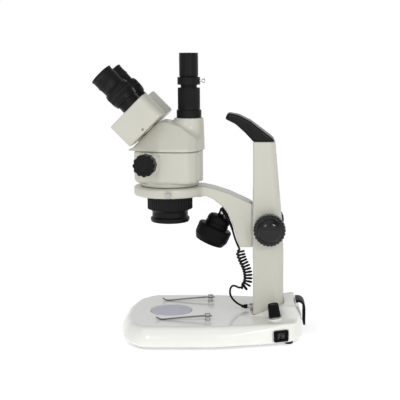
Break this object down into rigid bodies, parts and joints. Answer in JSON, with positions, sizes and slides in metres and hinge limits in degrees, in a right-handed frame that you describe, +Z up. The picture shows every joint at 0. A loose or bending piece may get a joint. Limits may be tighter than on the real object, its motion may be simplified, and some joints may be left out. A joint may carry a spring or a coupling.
{
  "type": "stereo microscope",
  "caption": "Trinocular zoom stereo microscope on a pillar stand: inclined eyepieces, camera tube, focusing arm with a tilting lamp on a curly cord, illuminated base with stage clips.",
  "frame": {"origin": "on the bench under the centre of the microscope's bounding box", "axes": "+Z up, the user sits at -X and the pillar stands at +X, +Y to the far side; the switch and dimmer are on the -Y side"},
  "size_m": [0.3009, 0.202, 0.4073],
  "materials": {
    "base_paint": "glossy off-white paint",
    "cream_paint": "satin warm grey paint",
    "steel_sheet": "plain",
    "steel": "turned",
    "chrome": "polished",
    "aluminium": "machined",
    "brass": "cut teeth",
    "black_plastic": "satin",
    "gloss_black": "gloss",
    "black_anodised": "black satin",
    "foot_rubber": "matte",
    "eyecup_rubber": "matte",
    "cord_jacket": "satin",
    "frosted_glass": "frosted",
    "optical_glass": "coated",
    "circuit_board": "satin"
  },
  "bodies": {
    "stand": {"base_casting": "base_paint", "bottom_plate": "steel_sheet", "foot_front_near": "foot_rubber", "foot_front_far": "foot_rubber", "foot_rear_near": "foot_rubber", "foot_rear_far": "foot_rubber", "stage_plate": "frosted_glass", "stage_lamp": "aluminium", "driver_board": "circuit_board", "switch_bezel": "black_plastic", "dimmer_collar": "chrome", "power_inlet": "black_plastic", "cord_hook": "black_plastic", "lamp_jack": "chrome", "clip_post_near": "chrome", "clip_post_far": "chrome", "pillar": "cream_paint", "dovetail_guide": "aluminium", "carry_handle": "black_plastic", "lamp_cord_coil": "cord_jacket", "lamp_cord_tail": "cord_jacket"},
    "switch": {"switch_rocker": "gloss_black"},
    "dimmer": {"dimmer_knob": "black_plastic"},
    "clip_near": {"stage_clip_near": "chrome"},
    "clip_far": {"stage_clip_far": "chrome"},
    "focus_drive": {"focus_shaft": "steel", "focus_pinion": "brass", "focus_knob_near": "gloss_black", "focus_knob_far": "gloss_black"},
    "tension": {"tension_collar": "black_plastic"},
    "arm": {"arm_casting": "cream_paint", "arm_slide": "aluminium", "focus_rack": "brass", "lamp_bracket": "black_plastic", "lamp_cord_lead": "cord_jacket"},
    "head_screw": {"head_clamp_screw": "chrome"},
    "lamp": {"lamp_housing": "black_plastic", "lamp_lens": "frosted_glass"},
    "head": {"head_lower_housing": "cream_paint", "head_upper_housing": "cream_paint", "objective_barrel": "black_anodised", "objective_lens": "optical_glass", "camera_base_tube": "black_anodised", "camera_clamp_ring": "black_anodised", "camera_sleeve": "black_anodised"},
    "camera_screw": {"camera_clamp_screw": "chrome"},
    "zoom_drive": {"zoom_shaft": "steel", "zoom_knob_near": "black_plastic", "zoom_knob_far": "black_plastic"},
    "zoom_optics": {"zoom_lens_carriage": "aluminium"},
    "eye_near": {"prism_box_near": "cream_paint", "eye_tube_near": "black_anodised"},
    "eye_far": {"prism_box_far": "cream_paint", "eye_tube_far": "black_anodised"},
    "ocular_near": {"dioptre_ring_near": "black_anodised", "eyepiece_near": "eyecup_rubber", "eye_lens_near": "optical_glass"},
    "ocular_far": {"dioptre_ring_far": "black_anodised", "eyepiece_far": "eyecup_rubber", "eye_lens_far": "optical_glass"}
  },
  "joints": [
    {"name": "power_rocker", "type": "hinge", "parent": "stand", "child": "switch", "pos_m": [0.11188, -0.07609, 0.016], "axis": [0, 0, 1], "range_deg": [-12, 0]},
    {"name": "dimmer_turn", "type": "hinge", "parent": "stand", "child": "dimmer", "pos_m": [0.1044, -0.052, 0.0362], "axis": [-0.1392, 0, 0.9903], "range_deg": [0, 270]},
    {"name": "clip_near_swing", "type": "hinge", "parent": "stand", "child": "clip_near", "pos_m": [0.009, -0.0535, 0.0388], "axis": [0, 0, 1], "range_deg": [-40, 40]},
    {"name": "clip_far_swing", "type": "hinge", "parent": "stand", "child": "clip_far", "pos_m": [0.009, 0.0535, 0.0388], "axis": [0, 0, 1], "range_deg": [-40, 40]},
    {"name": "focus_slide", "type": "slide", "parent": "stand", "child": "arm", "axis": [0, 0, 1], "range_m": [-0.038, 0.042], "deforming": ["lamp_cord_coil"]},
    {"name": "focus_turn", "type": "hinge", "parent": "stand", "child": "focus_drive", "pos_m": [0.0968, 0, 0.1604], "axis": [0, 1, 0], "range_deg": [-364, 402]},
    {"name": "tension_turn", "type": "hinge", "parent": "stand", "child": "tension", "pos_m": [0.0968, -0.034, 0.1604], "axis": [0, 1, 0], "range_deg": [-20, 20]},
    {"name": "head_screw_turn", "type": "hinge", "parent": "arm", "child": "head_screw", "pos_m": [-0.0446, -0.052, 0.212], "axis": [0, -1, 0], "range_deg": [0, 360]},
    {"name": "lamp_tilt", "type": "hinge", "parent": "arm", "child": "lamp", "pos_m": [0.0289, 0, 0.179], "axis": [0, 1, 0], "range_deg": [0, 18]},
    {"name": "head_turn", "type": "hinge", "parent": "arm", "child": "head", "pos_m": [-0.0466, 0, 0.212], "axis": [0, 0, 1], "range_deg": [-120, 120]},
    {"name": "camera_screw_turn", "type": "hinge", "parent": "head", "child": "camera_screw", "pos_m": [0.00225, -0.00384, 0.368], "axis": [0.9969, -0.0785, 0], "range_deg": [0, 360]},
    {"name": "zoom_turn", "type": "hinge", "parent": "head", "child": "zoom_drive", "pos_m": [-0.07202, 0.002, 0.2535], "axis": [0.0785, 0.9969, 0], "range_deg": [-130, 140]},
    {"name": "zoom_lens_travel", "type": "slide", "parent": "head", "child": "zoom_optics", "axis": [0, 0, 1], "range_m": [-0.00998, 0.01075]},
    {"name": "eye_spacing_near", "type": "hinge", "parent": "head", "child": "eye_near", "pos_m": [-0.07328, -0.01144, 0.2998], "axis": [-0.7049, 0.0555, 0.7071], "range_deg": [-18, 18]},
    {"name": "eye_spacing_far", "type": "hinge", "parent": "head", "child": "eye_far", "pos_m": [-0.07116, 0.01547, 0.2998], "axis": [-0.7049, 0.0555, 0.7071], "range_deg": [-18, 18]},
    {"name": "dioptre_near", "type": "hinge", "parent": "eye_near", "child": "ocular_near", "pos_m": [-0.09486, -0.0288, 0.33409], "axis": [-0.7049, 0.0555, 0.7071], "range_deg": [-120, 120]},
    {"name": "dioptre_far", "type": "hinge", "parent": "eye_far", "child": "ocular_far", "pos_m": [-0.08976, 0.036, 0.33409], "axis": [-0.7049, 0.0555, 0.7071], "range_deg": [-120, 120]}
  ],
  "couplings": [
    {"joint": "focus_turn", "follows": "focus_slide", "rad_per_m": 166.67},
    {"joint": "zoom_turn", "follows": "zoom_lens_travel", "rad_per_m": 227.27},
    {"joint": "eye_spacing_far", "follows": "eye_spacing_near", "ratio": -1}
  ]
}
